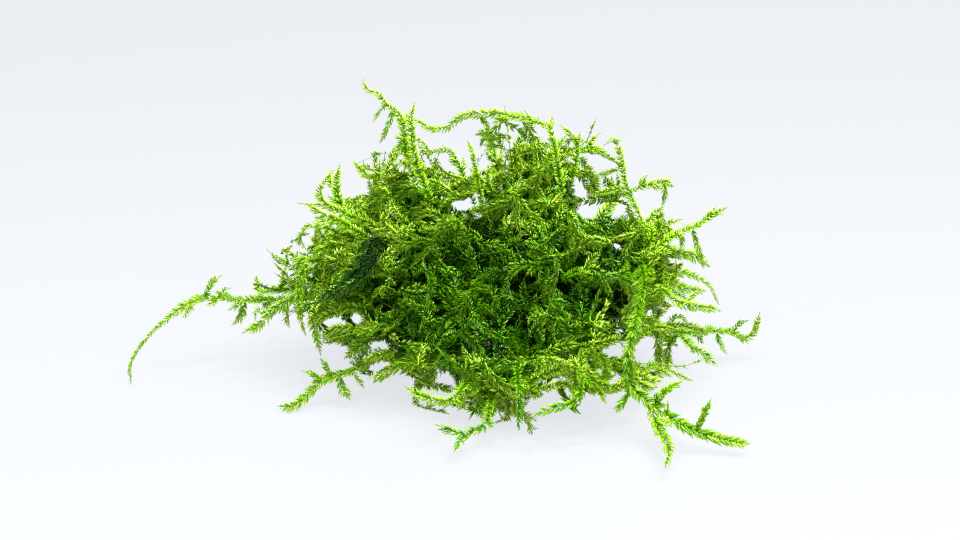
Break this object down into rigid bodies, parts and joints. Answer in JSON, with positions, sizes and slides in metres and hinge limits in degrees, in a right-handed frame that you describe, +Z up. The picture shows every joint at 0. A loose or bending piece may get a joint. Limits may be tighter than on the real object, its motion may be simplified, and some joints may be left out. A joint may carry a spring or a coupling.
{
  "type": "peacock moss clump",
  "caption": "Loose clump of leafy aquarium moss lying on a flat surface: a dense tangled mound with feathery shoots arching, hanging and trailing out of it.",
  "frame": {"origin": "on the table under the middle of the mound", "axes": "+X to the right along the longest extent, +Y away from the viewer, +Z up from the table"},
  "size_m": [0.1263, 0.1121, 0.0622],
  "materials": {
    "tangled_moss": "wet leaves, satin",
    "leafy_shoot": "wet leaves, satin",
    "bare_stem": "wiry stem, satin"
  },
  "bodies": {
    "root": {"back_crest_frond": "leafy_shoot", "back_left_frond": "leafy_shoot", "back_left_leafy_shoot": "leafy_shoot", "back_left_low_frond": "leafy_shoot", "back_left_shoot": "leafy_shoot", "back_left_trailing_shoot": "leafy_shoot", "back_middle_sprig": "leafy_shoot", "back_right_arching_shoot": "leafy_shoot", "back_right_low_frond": "leafy_shoot", "back_right_upper_frond": "leafy_shoot", "back_trailing_shoot": "leafy_shoot", "back_upper_frond": "leafy_shoot", "crest_arching_shoot": "leafy_shoot", "crest_bare_stem": "bare_stem", "crest_curling_shoot": "leafy_shoot", "crest_middle_spray": "leafy_shoot", "crest_right_leafy_shoot": "leafy_shoot", "crest_short_shoot": "leafy_shoot", "front_hanging_shoot": "leafy_shoot", "front_left_bare_stem": "bare_stem", "front_left_shoot": "leafy_shoot", "front_loop_shoot": "leafy_shoot", "front_low_shoot": "leafy_shoot", "front_right_forward_shoot": "leafy_shoot", "front_right_leafy_shoot": "leafy_shoot", "front_right_sprig": "leafy_shoot", "front_right_thick_shoot": "leafy_shoot", "left_arching_shoot": "leafy_shoot", "left_drooping_shoot": "leafy_shoot", "left_feather_shoot": "leafy_shoot", "left_front_long_shoot": "leafy_shoot", "left_hanging_shoot": "leafy_shoot", "left_loop_shoot": "leafy_shoot", "left_middle_frond": "leafy_shoot", "left_star_shoot": "leafy_shoot", "left_upper_tip": "leafy_shoot", "right_back_drooping_shoot": "leafy_shoot", "right_back_leafy_shoot": "leafy_shoot", "right_back_low_frond": "leafy_shoot", "right_back_upper_shoot": "leafy_shoot", "right_bare_stem": "bare_stem", "right_crest_shoot": "leafy_shoot", "right_long_shoot": "leafy_shoot", "right_low_frond": "leafy_shoot", "right_middle_frond": "leafy_shoot", "right_rising_frond": "leafy_shoot", "right_side_leafy_shoot": "leafy_shoot", "right_sparse_shoot": "leafy_shoot", "right_upper_frond": "leafy_shoot", "right_upper_leafy_shoot": "leafy_shoot", "tangled_mound": "tangled_moss", "top_left_frond": "leafy_shoot", "top_left_long_shoot": "leafy_shoot", "top_right_spray": "leafy_shoot", "top_right_wiry_shoot": "leafy_shoot", "upper_left_frond": "leafy_shoot", "upper_left_side_frond": "leafy_shoot", "upper_left_spray": "leafy_shoot", "upper_left_thin_shoot": "leafy_shoot"}
  },
  "joints": []
}
